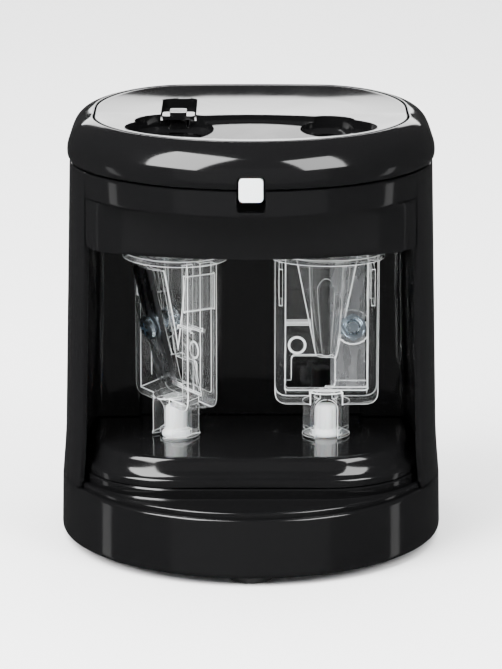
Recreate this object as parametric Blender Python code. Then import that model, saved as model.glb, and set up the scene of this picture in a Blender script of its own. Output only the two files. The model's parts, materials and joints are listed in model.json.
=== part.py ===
"""Desktop electric pencil sharpener with two cutter cartridges under a hood and a pencil selector on top.

The object stands on z = 0 with its front facing -Y, and its origin is the middle of its footprint.
Sizes below are in millimetres and degrees; meshes are made in metres.
"""

import math

import bmesh
import bpy
from mathutils import Vector

MM = 0.001
GAP = 0.3

# Casing: a plan that is a half circle in front and a rounded square behind
BASE_R = 44.0
ARC_Y = 2.0
BACK_Y = 42.0
REAR_CORNER = 20.0
FOOT_H = 1.8
TRAY_TOP = 15.8
PLINTH_TOP = 18.3
PLATFORM_TOP = 24.8
SHELL_BOTTOM = 16.8
SHELL_TOP = 88.0
SHELL_WALL = 1.4
SHELL_FRONT_ANGLE = -26.3
CAVITY_BOTTOM = 25.1
CAVITY_TOP = 70.6
HOOD_FLOOR = 70.9
HOOD_STEP = 82.1
CAP_BOTTOM = 88.3
CAP_BULGE = 90.4
SHOULDER_TURN = math.radians(70.0)
CREST_FRONT = 98.0
CREST_REAR = 100.65
CREST_START = 4.0
CREST_CROWN = 0.7
PANEL_R = 35.8
PANEL_REAR = 29.8
SWEEP = 25.8
PANEL_BOTTOM = 93.9
PANEL_TOP = 97.9
DISH_FLOOR = 94.9
DISH_Y = -14.3

# Drive line: motor, two idlers and two spindles
SPINDLE_X = 17.2
SPINDLE_Y = -6.0
MOTOR_Y = 27.0
REAR_IDLER_Y = 10.8
PRESSURE = math.radians(20)
BACKLASH = 0.16
FINE_MODULE = 0.8
COARSE_MODULE = 0.9
SPINDLE_TEETH, CENTRE_PINION_TEETH = 28, 15
CENTRE_WHEEL_TEETH, REAR_PINION_TEETH = 30, 12
REAR_WHEEL_TEETH, MOTOR_TEETH = 27, 9
GEAR_Z = 10.2
MIDDLE_Z = 14.2
UPPER_Z = 17.7

# Cutter cartridge
LEFT_TURN, RIGHT_TURN = -58.0, 180.0
FRAME_W, FRAME_T = 23.6, 7.7
FRAME_BOTTOM, FRAME_TOP = 33.0, 66.9
FLANGE_TOP = 68.2
FLANGE_LONG, FLANGE_SHORT = 13.2, 11.5
COLLAR_TOP = 73.4
COLLAR_R = 8.0
CONE_TIP_Z = 43.2
CONE_TILT = 13.0
CONE_TIP_R = 0.9
SCREW_X, SCREW_Z = -6.0, 49.8
PENCIL_R = {"left": 6.1, "right": 4.3}

# Controls
SELECTOR_TRAVEL = 12.2
LEVER_Y, LEVER_Z = 6.6, 86.0


# ---------------------------------------------------------------- helpers

def material(name, colour, roughness, metallic=0.0, alpha=1.0):
    made = bpy.data.materials.new(name)
    made.use_nodes = True
    shader = made.node_tree.nodes["Principled BSDF"]
    shader.inputs["Base Color"].default_value = (*colour, 1.0)
    shader.inputs["Roughness"].default_value = roughness
    shader.inputs["Metallic"].default_value = metallic
    shader.inputs["Alpha"].default_value = alpha
    return made


def clear_scene():
    for old in list(bpy.data.objects):
        bpy.data.objects.remove(old, do_unlink=True)


def circle(radius, z, sides=24, centre=(0.0, 0.0)):
    turns = [2 * math.pi * i / sides for i in range(sides)]
    return [(centre[0] + radius * math.cos(a), centre[1] + radius * math.sin(a), z) for a in turns]


def loft(loops, ring=False):
    """Points and faces through loops of equal length, capped at both ends or closed as a ring."""
    n = len(loops[0])
    points = [point for loop in loops for point in loop]
    pairs = [(k, k + 1) for k in range(len(loops) - 1)]
    if ring:
        pairs.append((len(loops) - 1, 0))
    faces = [
        (a * n + i, a * n + (i + 1) % n, b * n + (i + 1) % n, b * n + i)
        for a, b in pairs
        for i in range(n)
    ]
    if not ring:
        faces.append(tuple(reversed(range(n))))
        faces.append(tuple(range(len(points) - n, len(points))))
    return points, faces


def turned(profile, sides=24, centre=(0.0, 0.0), ring=False):
    """A solid of revolution about Z from (radius, z) pairs; a ring's profile is closed."""
    return loft([circle(r, z, sides, centre) for r, z in profile], ring)


def prism(outline, bottom, top):
    return loft([[(x, y, z) for x, y in outline] for z in (bottom, top)])


def box(x0, x1, y0, y1, z0, z1):
    return prism([(x0, y0), (x1, y0), (x1, y1), (x0, y1)], z0, z1)


def mesh_from(name, shape):
    """A mesh from points in millimetres, faces turned outwards and round faces smooth."""
    points, faces = shape
    mesh = bpy.data.meshes.new(name)
    mesh.from_pydata([Vector(p) * MM for p in points], [], faces)
    work = bmesh.new()
    work.from_mesh(mesh)
    bmesh.ops.recalc_face_normals(work, faces=work.faces)
    work.to_mesh(mesh)
    work.free()
    mesh.shade_smooth()
    mesh.set_sharp_from_angle(angle=math.radians(35))
    return mesh


def add(name, shape, look, at=(0.0, 0.0, 0.0), turn=(0.0, 0.0, 0.0), parent=None):
    """One named sub-part at a place in millimetres, turned by degrees."""
    mesh = mesh_from(name, shape)
    mesh.materials.append(look)
    part = bpy.data.objects.new(name, mesh)
    bpy.context.scene.collection.objects.link(part)
    part.location = Vector(at) * MM
    part.rotation_euler = [math.radians(angle) for angle in turn]
    part.parent = parent
    return part


def combine(part, shape, operation="DIFFERENCE", at=(0.0, 0.0, 0.0), turn=(0.0, 0.0, 0.0)):
    """A Boolean with a hidden tool that is fixed to the part."""
    number = len(part.modifiers) + 1
    tool = bpy.data.objects.new(f"{part.name}_tool_{number}", mesh_from(f"tool_{number}", shape))
    bpy.context.scene.collection.objects.link(tool)
    tool.parent = part
    tool.location = Vector(at) * MM
    tool.rotation_euler = [math.radians(angle) for angle in turn]
    tool.hide_render = True
    tool.display_type = "WIRE"
    step = part.modifiers.new(f"{operation.lower()}_{number}", "BOOLEAN")
    step.operation = operation
    step.object = tool
    step.solver = "EXACT"


def pivot(name, at, turn_z=0.0):
    empty = bpy.data.objects.new(name, None)
    bpy.context.scene.collection.objects.link(empty)
    empty.location = Vector(at) * MM
    empty.rotation_euler = (0.0, 0.0, math.radians(turn_z))
    return empty


# ---------------------------------------------------------------- plan outlines

def within_rounded(half_width, front, rear, front_corner, rear_corner):
    """A test for the inside of a rectangle with one radius at its front corners and one behind."""
    def inside(x, y):
        x = abs(x)
        if x >= half_width or not front < y < rear:
            return False
        for corner, side, edge in ((front_corner, -1, front), (rear_corner, 1, rear)):
            middle = edge - side * corner
            if x > half_width - corner and side * (y - middle) > 0:
                return math.hypot(x - half_width + corner, y - middle) < corner
        return True
    return inside


def within_body(inset):
    """The casing's plan, drawn in by an inset."""
    r = BASE_R - inset
    return within_rounded(r, ARC_Y - r, BACK_Y - inset, r, REAR_CORNER - inset)


def outline(inside, angles=None, centre=(0.0, ARC_Y)):
    """Where rays from a centre leave a shape, found by halving."""
    angles = angles or [2 * math.pi * i / 40 for i in range(40)]
    points = []
    for angle in angles:
        low, high = 0.0, 80.0
        for _ in range(32):
            middle = (low + high) / 2
            x = centre[0] + middle * math.cos(angle)
            y = centre[1] + middle * math.sin(angle)
            low, high = (middle, high) if inside(x, y) else (low, middle)
        points.append((centre[0] + low * math.cos(angle), centre[1] + low * math.sin(angle)))
    return points


def level(points, z):
    return [(x, y, z) for x, y in points]


def body_level(inset, z):
    return level(outline(within_body(inset)), z)


def shell_inset(z):
    """How far the tapering rear shell stands in from the base's edge at a height."""
    steps = ((SHELL_BOTTOM, 0.35), (22.0, 0.9), (26.0, 1.15), (SHELL_TOP, 2.75))
    for (z0, inset0), (z1, inset1) in zip(steps, steps[1:]):
        if z <= z1:
            return inset0 + (inset1 - inset0) * (z - z0) / (z1 - z0)
    return steps[-1][1]


# ---------------------------------------------------------------- base

BOSS_SPOTS = ((-12.0, -33.0), (12.0, -33.0), (-18.0, 36.9), (18.0, 36.9))
CHASSIS_SPOTS = ((0.0, -22.0), (-26.0, 26.0), (26.0, 26.0))
INLET_Z = 8.2


def base_tray(look):
    """Flared apron, double lip, tray and raised plinth in one moulding, with screw bosses."""
    plinth = outline(within_rounded(39.0, -28.4, 36.0, 23.0, 14.0))
    plinth_in = outline(within_rounded(37.0, -26.4, 34.0, 21.0, 12.0))
    tray = add("base_tray", loft([
        body_level(0.6, FOOT_H), body_level(0.0, 2.5), body_level(0.25, 14.7), body_level(0.7, 15.2),
        body_level(1.6, 15.2), body_level(1.8, 16.4), body_level(3.1, 16.4), body_level(3.3, TRAY_TOP),
        level(plinth, TRAY_TOP), level(plinth, PLINTH_TOP), level(plinth_in, PLINTH_TOP),
        level(plinth_in, 13.8), body_level(2.6, 13.8), body_level(2.3, FOOT_H)], ring=True), look)
    for x, y in BOSS_SPOTS:
        combine(tray, turned([(2.7, 4.1), (2.7, 14.6)], 12, (x, y)), "UNION")
        combine(tray, turned([(1.5, 3.0), (1.5, 11.0)], 10, (x, y)))
    combine(tray, turned([(4.0, -3.0), (4.0, 3.0)], 20), at=(0.0, 41.0, INLET_Z), turn=(90.0, 0.0, 0.0))
    return tray


def bottom_cover(look):
    cover = add("bottom_cover", loft([body_level(2.7, FOOT_H), body_level(2.75, 3.8)]), look)
    for x, y in BOSS_SPOTS:
        combine(cover, turned([(3.0, 0.0), (3.0, 2.8), (1.5, 2.9), (1.5, 6.0)], 12, (x, y)))
    for x in (-10.0, 10.0):
        combine(cover, box(x - 2, x + 2, 14, 20, 3.5, 4.7), "UNION")


def screw_shape(head_r, head_h, shaft_r, length, sides=12):
    """A pan-head screw standing on its head, with a drive recess."""
    return turned([
        (0.5 * head_r, 0.5 * head_h), (0.45 * head_r, 0.0), (0.8 * head_r, 0.0), (head_r, 0.35 * head_h),
        (head_r, head_h), (shaft_r, head_h), (shaft_r, length - 0.6), (0.5 * shaft_r, length)], sides)


def fasteners_below(look):
    for number, (x, y) in enumerate(BOSS_SPOTS, 1):
        add(f"cover_screw_{number}", screw_shape(2.5, 0.6, 1.1, 8.0, 10), look, (x, y, 2.0))
    for number, (x, y) in enumerate(CHASSIS_SPOTS, 1):
        add(f"chassis_screw_{number}", screw_shape(2.5, 1.6, 1.1, 8.5, 10), look, (x, y, 6.1))


def feet(look):
    spots = {
        "foot_front": (0.0, -35.0), "foot_front_left": (-27.0, -21.0), "foot_front_right": (27.0, -21.0),
        "foot_rear_left": (-29.0, 28.0), "foot_rear_right": (29.0, 28.0)}
    for name, (x, y) in spots.items():
        shape = turned([(4.6, 0.0), (5.1, 0.35), (5.1, FOOT_H - GAP)], 18)
        add(name, shape, look, (x, y, 0.0))


def platform_cover(look):
    """Floor of the bin space: a ledge, a sloping skirt and a flat top, hollow over the gears."""
    ledge = within_rounded(38.4, -28.0, 36.0, 22.0, 14.0)
    top = within_rounded(36.0, -25.4, 36.0, 20.0, 14.0)
    under = within_rounded(34.2, -23.6, 34.2, 18.2, 12.0)
    rim = within_rounded(36.4, -26.0, 34.0, 20.0, 12.0)
    cover = add("platform_cover", loft([
        level(outline(ledge), 18.6), level(outline(ledge), 20.1), level(outline(top), 24.3),
        level(outline(within_rounded(35.5, -24.9, 35.5, 19.5, 13.5)), PLATFORM_TOP),
        level(outline(within_rounded(1.0, 1.0, 3.0, 0.4, 0.4)), PLATFORM_TOP),
        level(outline(within_rounded(1.0, 1.0, 3.0, 0.4, 0.4)), 22.8),
        level(outline(under), 22.8), level(outline(rim), 18.6)], ring=True), look)
    combine(cover, turned([(2.0, 22.5), (2.0, 25.0)], 16, (0.0, ARC_Y)), "UNION")
    for x, y in CHASSIS_SPOTS:
        combine(cover, turned([(2.5, 9.9), (2.5, 23.3)], 12, (x, y)), "UNION")
        combine(cover, turned([(1.4, 9.0), (1.4, 18.0)], 10, (x, y)))
    for x in (-SPINDLE_X, SPINDLE_X):
        combine(cover, turned([(3.6, 20.0), (3.6, 26.0)], 24, (x, SPINDLE_Y)))
    combine(cover, turned([(4.5, 20.0), (4.5, 26.0)], 20, (0.0, MOTOR_Y)))


def gear_chassis(look):
    plate = within_rounded(31.0, -25.8, 32.5, 16.0, 5.0)
    chassis = add("gear_chassis", prism(outline(plate), 8.0, 9.6), look)
    holes = [(x, y, 1.5) for x, y in CHASSIS_SPOTS]
    holes += [(x, SPINDLE_Y, 1.9) for x in (-SPINDLE_X, SPINDLE_X)]
    holes += [(0.0, SPINDLE_Y, 1.8), (0.0, REAR_IDLER_Y, 1.8)]
    for x, y, radius in holes:
        combine(chassis, turned([(radius, 7.0), (radius, 11.0)], 12, (x, y)))


# ---------------------------------------------------------------- gears

def involute(angle):
    return math.tan(angle) - angle


def tooth_half_angle(radius, teeth, module):
    """Half the angle that a tooth takes at a radius, on the involute, less the backlash."""
    pitch = teeth * module / 2
    slope = math.acos(min(1.0, pitch * math.cos(PRESSURE) / radius))
    return math.pi / (2 * teeth) - BACKLASH / (2 * pitch) + involute(PRESSURE) - involute(slope)


def gear_outline(teeth, module, phase):
    """A spur gear's outline, with one tooth centred on the phase in degrees."""
    pitch = teeth * module / 2
    root, tip = pitch - 1.2 * module, pitch + 0.85 * module
    points = []
    for tooth in range(teeth):
        middle = math.radians(phase) + 2 * math.pi * tooth / teeth
        foot = min(tooth_half_angle(root, teeth, module), 0.46 * 2 * math.pi / teeth)
        crest = tooth_half_angle(tip, teeth, module)
        for radius, half in ((root, -foot), (tip, -crest), (tip, crest), (root, foot)):
            points.append((radius * math.cos(middle + half), radius * math.sin(middle + half)))
    return points


def gear(name, sizes, bore, look, parent):
    """Coaxial gears in one piece: (teeth, module, phase, bottom, top) each, with a round bore."""
    first, *others = sizes
    made = add(name, prism(gear_outline(*first[:3]), *first[3:]), look, parent=parent)
    for size in others:
        combine(made, prism(gear_outline(*size[:3]), *size[3:]), "UNION")
    combine(made, turned([(bore, 5.0), (bore, 30.0)], 14))
    return made


def gear_train(white, brass, steel):
    """Idlers on their pins and the motor's pinion; the spindle gears belong to the cutters."""
    centre = pivot("idler_centre_axis", (0.0, SPINDLE_Y, 0.0))
    rear = pivot("idler_rear_axis", (0.0, REAR_IDLER_Y, 0.0))
    motor = pivot("motor_axis", (0.0, MOTOR_Y, 0.0))
    gear("idler_centre", [
        (CENTRE_WHEEL_TEETH, FINE_MODULE, 90.0, MIDDLE_Z, MIDDLE_Z + 3.0),
        (CENTRE_PINION_TEETH, FINE_MODULE, 0.0, GEAR_Z, MIDDLE_Z + 0.5)], 1.8, white, centre)
    rear_gear = gear("idler_rear", [
        (REAR_WHEEL_TEETH, COARSE_MODULE, 90.0, UPPER_Z, UPPER_Z + 3.0),
        (REAR_PINION_TEETH, FINE_MODULE, 270.0 + 180.0 / REAR_PINION_TEETH, MIDDLE_Z - 0.2,
         UPPER_Z + 0.5)], 1.8, white, rear)
    combine(rear_gear, turned([(3.0, 9.9), (3.0, 14.6), (1.8, 14.6), (1.8, 9.9)], 14, ring=True), "UNION")
    gear("motor_pinion", [(MOTOR_TEETH, COARSE_MODULE, 270.0 + 180.0 / MOTOR_TEETH,
                           UPPER_Z - 0.4, UPPER_Z + 3.4)], 1.3, brass, motor)
    add("motor_shaft", turned([(1.0, 16.8), (1.0, 26.7)], 12), steel, parent=motor)
    for name, y, top in (("idler_pin_centre", SPINDLE_Y, 18.2), ("idler_pin_rear", REAR_IDLER_Y, 21.6)):
        add(name, turned([(1.5, 8.2), (1.5, top)], 12), steel, (0.0, y, 0.0))


# ---------------------------------------------------------------- motor and electrics

def motor(steel, black):
    """A flatted can motor standing on its bracket behind the cavity wall."""
    def can(radius, flat):
        return outline(lambda x, y: math.hypot(x, y) < radius and abs(y) < flat,
                       [2 * math.pi * i / 36 for i in range(36)], (0.0, 0.0))
    place = (0.0, MOTOR_Y, 0.0)
    add("motor_can", prism(can(12.2, 9.2), 27.0, 58.0), steel, place)
    add("motor_end_cap", prism(can(11.6, 8.7), 58.3, 60.6), black, place)
    bracket = add("motor_bracket", prism(outline(within_rounded(15.0, -10.3, 7.8, 3.0, 3.0),
                                                 centre=(0.0, -1.0)), 25.1, 26.7), steel, place)
    combine(bracket, turned([(4.5, 24.0), (4.5, 28.0)], 18))


def electrics(green, black):
    add("circuit_board", box(-14.0, 14.0, 9.0, 25.0, 5.0, 6.4), green)
    inlet = add("dc_inlet", box(-4.5, 4.5, 33.6, 39.0, 4.3, 12.1), black)
    turn = {"at": (0.0, 0.0, INLET_Z), "turn": (90.0, 0.0, 0.0)}
    combine(inlet, turned([(3.6, -41.6), (3.6, -38.0)], 18), "UNION", **turn)
    combine(inlet, turned([(2.9, -43.0), (2.9, -35.5), (1.0, -35.5), (1.0, -43.0)], 16, ring=True), **turn)


def start_switches(black, steel):
    """A microswitch behind each pencil guide, and the lever that a pencil swings."""
    for side, sign, reach in (("left", -1, -0.8), ("right", 1, -2.7)):
        x = sign * SPINDLE_X
        switch = add(f"start_switch_{side}", box(-3.2, 3.2, 9.6, 12.6, 75.0, 88.0), black, (x, 0.0, 0.0))
        for lug in (-2.4, 2.4):
            combine(switch, box(lug - 0.6, lug + 0.6, 5.4, 9.9, 84.6, 87.4), "UNION")
        combine(switch, turned([(0.5, -2.1), (0.5, 2.1)], 8), "UNION",
                (0.0, LEVER_Y, LEVER_Z), (0.0, 90.0, 0.0))
        lever_arm = [
            (0.7, 0.0), (0.7, -8.4), (reach - LEVER_Y, -8.4), (reach - LEVER_Y - 0.4, -7.8),
            (reach - LEVER_Y, -7.2), (-0.5, -7.2), (-0.5, 0.0)]
        lever = add(f"start_lever_{side}", loft([[(-1.2, y, z) for y, z in lever_arm],
                                                 [(1.2, y, z) for y, z in lever_arm]]),
                    steel, (x, LEVER_Y, LEVER_Z))
        combine(lever, turned([(1.3, -1.4), (1.3, 1.4)], 12), "UNION", turn=(0.0, 90.0, 0.0))
        combine(lever, turned([(0.8, -2.0), (0.8, 2.0)], 10), turn=(0.0, 90.0, 0.0))


# ---------------------------------------------------------------- casing above the base

def rear_shell(look):
    """The tapering outer wall round the sides and back, open in front."""
    heights = (15.6, SHELL_BOTTOM, 22.0, 26.0, SHELL_TOP)
    first = math.radians(SHELL_FRONT_ANGLE)
    count = 44
    angles = [first + (math.pi - 2 * first) * i / count for i in range(count + 1)]
    outer = [level(outline(within_body(shell_inset(z)), angles), z) for z in heights]
    inner = [level(outline(within_body(shell_inset(z) + SHELL_WALL), angles), z)
             for z in reversed(heights[1:])]
    rebate = [level(outline(within_body(1.4), angles), z) for z in (SHELL_BOTTOM, 15.6)]
    rails = outer + inner + rebate
    return add("rear_shell", loft([[rail[i] for rail in rails] for i in range(count + 1)]), look)


def cavity_wall(look):
    """Liner at the sides and back of the bin space, with a shallow alcove between the cutters."""
    def plan(z):
        lean = shell_inset(z) - shell_inset(CAVITY_BOTTOM)
        inner = [(36.9 - lean, -13.5), (36.2 - lean, 7.6), (34.9 - lean, 9.3), (25.8, 9.3), (25.8, 11.3)]
        outer = [(27.0, 12.6), (27.0, 10.6), (35.6 - lean, 10.6), (37.4 - lean, 8.2), (38.1 - lean, -13.5)]
        left_inner = [(-x, y) for x, y in reversed(inner)]
        left_outer = [(-x, y) for x, y in reversed(outer)]
        return level(inner + left_inner + left_outer + outer, z)
    add("cavity_wall", loft([plan(CAVITY_BOTTOM), plan(CAVITY_TOP)]), look)


def hood_plan(front_r, side_inset, rear, set_back=None):
    """Inside test for the hood: a front arc between the shell's edges, narrower behind them."""
    sides = within_body(side_inset)

    def inside(x, y):
        in_front = math.degrees(math.atan2(y - ARC_Y, abs(x))) < SHELL_FRONT_ANGLE - 0.5
        if in_front:
            clear = set_back is None or math.hypot(x, y - 43.2) < set_back
            return math.hypot(x, y - ARC_Y) < front_r and clear
        return sides(x, y) and y < rear
    return inside


def hood(look):
    """Band over the bin space: a bowl that overhangs in front, with two bearings in its floor."""
    edge = SHELL_FRONT_ANGLE
    front = [math.radians(180 - edge + (180 + 2 * edge) * i / 24 + 0.6 * (1 - i / 12)) for i in range(25)]
    back = [math.radians(edge + 0.6 + (178.8 - 2 * edge) * i / 20) for i in range(21)]
    angles = front + back
    lower = outline(hood_plan(41.2, 5.2, 15.0, 73.0), angles)
    upper = outline(hood_plan(41.2, 5.2, 15.0), angles)
    lower_in = outline(hood_plan(38.0, 8.0, 13.0, 69.8), angles)
    upper_in = outline(hood_plan(38.0, 8.0, 13.0), angles)
    band = add("hood", loft([
        level(lower, HOOD_FLOOR), level(lower, HOOD_STEP), level(upper, HOOD_STEP + 0.2),
        level(upper, SHELL_TOP), level(upper_in, SHELL_TOP), level(upper_in, 84.1),
        level(lower_in, 84.0), level(lower_in, HOOD_FLOOR + 2.0)]), look)
    for x in (-SPINDLE_X, SPINDLE_X):
        combine(band, turned([(COLLAR_R + GAP, 70.0), (COLLAR_R + GAP, 75.0)], 32, (x, SPINDLE_Y)))
    combine(band, box(-3.1, 3.1, -45.0, -33.2, 83.3, 92.0))


def panel_outline(inset):
    r = PANEL_R - inset
    return outline(within_rounded(r, ARC_Y - r, PANEL_REAR - inset, r, max(20.0 - inset, 2.0)))


def crest(x, y):
    """Height of the cap's crest: level in front, rising to the back, where it is highest in the middle."""
    t = min(1.0, max(0.0, (y - CREST_START) / (PANEL_REAR - CREST_START)))
    rear = CREST_REAR - CREST_CROWN * (x / BASE_R) ** 2
    return CREST_FRONT + (rear - CREST_FRONT) * t ** 1.2


def plate_loop(inset, drop=0.0):
    """A level of the top plate, which sweeps up from its middle to just under the crest."""
    share = max(0.0, 1 - inset / SWEEP) ** 2
    return [
        (x, y, round(PANEL_TOP + (crest(*rim) - 0.1 - PANEL_TOP) * share - drop, 2))
        for (x, y), rim in zip(panel_outline(inset), panel_outline(0.0))]


def top_cap(look):
    """Bullnose ring that crowns the body round the top panel."""
    bulge = outline(within_body(2.25))
    inner = panel_outline(0.0)

    def shoulder(turn):
        rise = math.sin(turn) / math.sin(SHOULDER_TURN)
        reach = (1 - math.cos(turn)) / (1 - math.cos(SHOULDER_TURN))
        return [
            (bx + (ix - bx) * reach, by + (iy - by) * reach, CAP_BULGE + (crest(ix, iy) - CAP_BULGE) * rise)
            for (bx, by), (ix, iy) in zip(bulge, inner)]

    ring = add("top_cap", loft([
        body_level(2.75, CAP_BOTTOM), level(bulge, CAP_BULGE),
        *[shoulder(SHOULDER_TURN * k / 5) for k in range(1, 6)],
        level(inner, 93.6), level(panel_outline(2.0), 93.6), level(panel_outline(2.0), 92.3),
        body_level(4.6, 92.3), body_level(4.6, CAP_BOTTOM)], ring=True), look)
    combine(ring, box(-3.1, 3.1, -45.0, -36.0, 86.0, 91.3))


def top_panel(look):
    """Top plate with a raised rim behind, a dished front, two pencil holes and the selector's notch."""
    rings = [plate_loop(inset) for inset in (0.6, 4.5, 8.0, 11.5, SWEEP)]
    panel = add("top_panel", loft([
        level(panel_outline(0.35), PANEL_BOTTOM), plate_loop(0.35, 0.2), *rings]), look)
    for half, floor in ((1, 96.8), (-1, 96.5)):
        turns = [half * math.pi * i / 20 for i in range(21)]
        dish = [(28.0 * math.cos(a), DISH_Y + 16.0 * math.sin(a)) for a in turns]
        slope = (floor - DISH_FLOOR) / 16.0
        bottom = [(x, y, DISH_FLOOR + slope * abs(y - DISH_Y)) for x, y in dish]
        combine(panel, loft([bottom, level(dish, 102.0)]))
    for x, mouth, hole in ((-SPINDLE_X, 8.9, 6.8), (SPINDLE_X, 6.2, 4.75)):
        combine(panel, turned([(hole, 92.0), (hole, PANEL_BOTTOM + 0.1), (mouth, DISH_FLOOR + 0.2),
                               (mouth, 103.0)], 28, (x, SPINDLE_Y)))
    combine(panel, box(-20.5, -12.4, 0.2, 19.4, 96.5, 102.0))
    combine(panel, box(-18.8, -14.2, 1.7, 18.6, 92.0, 97.5))


def guide_deck(look):
    """Inner deck that rests on the hood's rim and locates the pencil guides."""
    def plan(inset):
        r = 39.0 - inset
        return outline(within_rounded(r, ARC_Y - r, 30.0 - inset, r, 15.0))
    deck = add("guide_deck", loft([
        level(plan(0.0), 88.3), level(plan(0.0), 91.9),
        level(plan(38.0), 91.9), level(plan(38.0), 89.9),
        level(plan(1.6), 89.9), level(plan(1.6), 88.3)], ring=True), look)
    combine(deck, turned([(1.6, 89.6), (1.6, 92.2)], 12, (0.0, ARC_Y)), "UNION")
    for x in (-SPINDLE_X, SPINDLE_X):
        combine(deck, turned([(8.3, 88.0), (8.3, 93.0)], 28, (x, SPINDLE_Y)))
    combine(deck, box(-3.6, 3.6, -45.0, -29.0, 86.0, 93.0))


def pencil_guides(look):
    """Flanged bushings from the deck down to the cutters' collars, slotted for the start levers."""
    for side, sign in (("left", -1), ("right", 1)):
        mouth = PENCIL_R[side] + 0.6
        throat = PENCIL_R[side]
        guide = add(f"guide_{side}", turned([
            (8.0, 74.1), (8.0, 88.0), (9.6, 88.0), (9.6, 89.6), (8.0, 89.6), (8.0, 91.7),
            (mouth, 91.7), (throat, 74.1)], 28, ring=True), look, (sign * SPINDLE_X, SPINDLE_Y, 0.0))
        combine(guide, box(-1.7, 1.7, 2.5, 12.0, 75.6, 87.9))


# ---------------------------------------------------------------- controls

def selector_slide(look):
    """Shutter with an aperture for each hole; one is always covered."""
    plate = outline(within_rounded(26.5, -27.0, 4.0, 16.0, 3.0), centre=(0.0, -10.0))
    slide = add("selector_slide", prism(plate, 92.2, 93.6), look)
    combine(slide, turned([(7.2, 91.0), (7.2, 95.0)], 24, (-SPINDLE_X, SPINDLE_Y)))
    combine(slide, turned([(5.2, 91.0), (5.2, 95.0)], 20, (SPINDLE_X, SPINDLE_Y - SELECTOR_TRAVEL)))
    combine(slide, box(-18.5, -14.5, 2.0, 6.0, 92.2, 97.0), "UNION")
    combine(slide, box(-20.1, -12.8, 0.8, 6.8, 96.8, 97.7), "UNION")
    combine(slide, box(-18.4, -14.6, 0.8, 6.8, 97.2, 98.5), "UNION")


def interlock(white, steel, black):
    """Button in the front notch, its spring, and the switch that it works."""
    button = add("interlock_button", loft([
        level([(-2.6, -39.6), (2.6, -39.6), (2.6, -36.5), (-2.6, -36.5)], 85.7),
        level([(-2.6, -39.9), (2.6, -39.9), (2.6, -36.5), (-2.6, -36.5)], 86.2),
        level([(-2.6, -39.9), (2.6, -39.9), (2.6, -36.5), (-2.6, -36.5)], 90.9)]), white)
    combine(button, turned([(1.1, -0.4), (1.1, 3.6)], 12), "UNION", (0.0, -36.5, 88.0), (-90.0, 0.0, 0.0))
    add("interlock_switch", box(-3.8, 3.8, -30.2, -24.4, 84.4, 89.6), black)
    add("interlock_spring", spring_shape(1.75, 0.28, -36.0, -30.7, 88.0), steel)


def spring_shape(radius, wire, start, end, z, turns=4, steps=9, sides=5):
    """A coil of round wire along Y."""
    loops = []
    for k in range(turns * steps + 1):
        angle = 2 * math.pi * k / steps
        along = start + wire + (end - start - 2 * wire) * k / (turns * steps)
        loops.append([
            ((radius + wire * math.cos(b)) * math.cos(angle), along + wire * math.sin(b),
             z + (radius + wire * math.cos(b)) * math.sin(angle))
            for b in [2 * math.pi * s / sides for s in range(sides)]])
    return loft(loops)


# ---------------------------------------------------------------- cutters

def cone_r(z):
    """Radius of the sharpening cone at a height."""
    return CONE_TIP_R + (z - CONE_TIP_Z - 0.5) * math.tan(math.radians(CONE_TILT))


def seat_y(z):
    """Where the blade's seat lies in front of the axis at a height."""
    return 0.45 - cone_r(z)


def cutter_body(side, look, parent):
    """One clear moulding: slotted boss, frame, sharpening cone, flange and bearing collar."""
    pencil = PENCIL_R[side]
    half = FRAME_W / 2
    front_view = [
        (-half, FRAME_TOP), (-half, FRAME_BOTTOM + 3.0), (3.0 - half, FRAME_BOTTOM),
        (half - 3.0, FRAME_BOTTOM), (half, FRAME_BOTTOM + 3.0), (half, FRAME_TOP)]
    body = add(f"cutter_body_{side}", loft([
        [(x, y, z) for x, z in front_view] for y in (-FRAME_T / 2, FRAME_T / 2)]), look, parent=parent)
    combine(body, turned([(5.9, CAVITY_BOTTOM), (5.3, 26.3), (5.3, 36.4)], 24), "UNION")
    outer_top = 7.0
    combine(body, turned([(2.3, CONE_TIP_Z), (outer_top, FRAME_TOP - 0.3), (outer_top, FRAME_TOP + 0.4)],
                         28), "UNION")
    turns = [2 * math.pi * i / 32 for i in range(32)]
    flange = [(FLANGE_LONG * math.cos(a), FLANGE_SHORT * math.sin(a)) for a in turns]
    combine(body, prism(flange, FRAME_TOP - 0.1, FLANGE_TOP), "UNION")
    combine(body, turned([(COLLAR_R, FLANGE_TOP - 0.5), (COLLAR_R, COLLAR_TOP)], 28), "UNION")
    wide_z = CONE_TIP_Z + 0.5 + (pencil - CONE_TIP_R) / math.tan(math.radians(CONE_TILT))
    combine(body, turned([(0.7, CONE_TIP_Z - 1.0), (CONE_TIP_R, CONE_TIP_Z + 0.5), (pencil, wide_z),
                          (pencil, COLLAR_TOP - 2.0), (pencil + 0.6, COLLAR_TOP + 1.0)], 24))
    combine(body, box(-9.4, 9.4, -15.0, 0.0, -14.3, 15.2),
            at=(0.0, seat_y(SCREW_Z), SCREW_Z), turn=(CONE_TILT, 0.0, 0.0))
    for x in (-10.45, 10.45):
        combine(body, box(x - 0.35, x + 0.35, -8.0, 8.0, 56.2, 64.4))
    combine(body, box(-2.0, 8.0, -8.0, 8.0, 36.8, 43.4))
    combine(body, turned([(3.6, 24.0), (3.6, 26.4), (2.8, 26.9), (2.8, 34.0)], 18))
    combine(body, box(-2.5, 2.5, -12.0, 12.0, 28.0, 34.2))
    combine(body, turned([(1.8, -9.0), (1.8, 2.0)], 14), at=(SCREW_X, seat_y(SCREW_Z), SCREW_Z),
            turn=(CONE_TILT + 90.0, 0.0, 0.0))
    combine(body, turned([(4.0, -12.0), (4.0, -2.6)], 18), at=(SCREW_X, seat_y(SCREW_Z), SCREW_Z),
            turn=(CONE_TILT + 90.0, 0.0, 0.0))
    return body


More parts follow.
